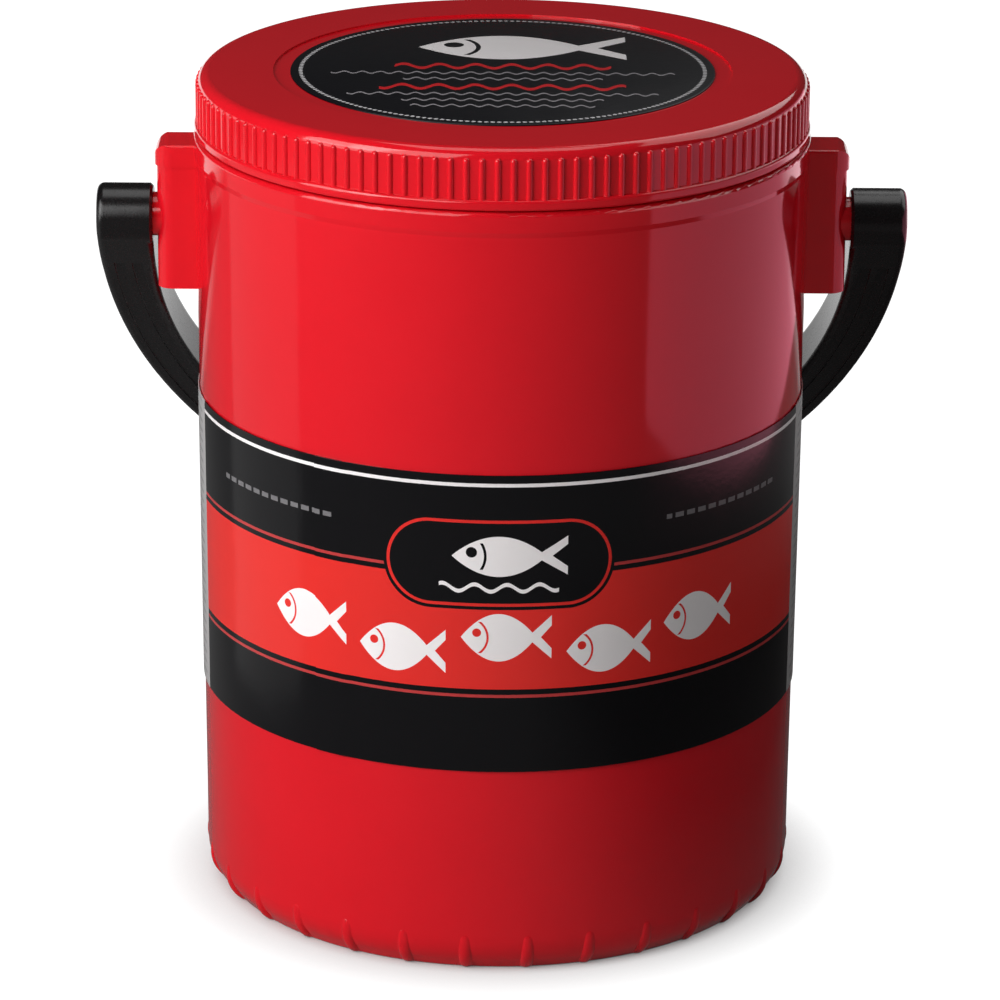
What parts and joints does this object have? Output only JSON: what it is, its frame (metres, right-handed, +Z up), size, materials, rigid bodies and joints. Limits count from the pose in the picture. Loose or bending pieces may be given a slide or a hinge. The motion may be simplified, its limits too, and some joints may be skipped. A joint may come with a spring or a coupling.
{
  "type": "insulated bait bucket",
  "caption": "Round double-walled bait bucket with ears, a screw lid with a gasket, foam inside its wall and lid, a label sleeve and a swinging bail.",
  "frame": {"origin": "centre of the bucket's standing ring, on the surface that it stands on", "axes": "+Z up along the bucket's axis, -Y towards the front of the label, X along the bail's pivot axis; the bail hangs at +Y"},
  "size_m": [0.1804, 0.1528, 0.1885],
  "materials": {
    "red_plastic": "gloss",
    "white_plastic": "satin",
    "black_plastic": "satin",
    "foam": "matte",
    "label_print": "gloss",
    "lid_print": "satin",
    "gasket_rubber": "matte"
  },
  "bodies": {
    "bucket": {"outer_shell": "red_plastic", "inner_liner": "white_plastic", "wall_foam": "foam", "base_foam": "foam", "label_sleeve": "label_print"},
    "seal": {"lid_gasket": "gasket_rubber"},
    "lid": {"lid_cap": "red_plastic", "lid_foam": "foam", "lid_liner": "white_plastic", "lid_label": "lid_print"},
    "bail": {"bail_handle": "black_plastic"}
  },
  "joints": [
    {"name": "lid_rise", "type": "slide", "parent": "bucket", "child": "seal", "axis": [0, 0, 1], "range_m": [0, 0.025]},
    {"name": "lid_turn", "type": "hinge", "parent": "seal", "child": "lid", "pos_m": [0, 0, 0.1749], "axis": [0, 0, 1], "range_deg": [0, 1800]},
    {"name": "bail_swing", "type": "hinge", "parent": "bucket", "child": "bail", "pos_m": [0, 0, 0.1548], "axis": [1, 0, 0], "range_deg": [0, 279.7]}
  ],
  "couplings": [
    {"joint": "lid_rise", "follows": "lid_turn", "m_per_rad": 0.00079577}
  ]
}
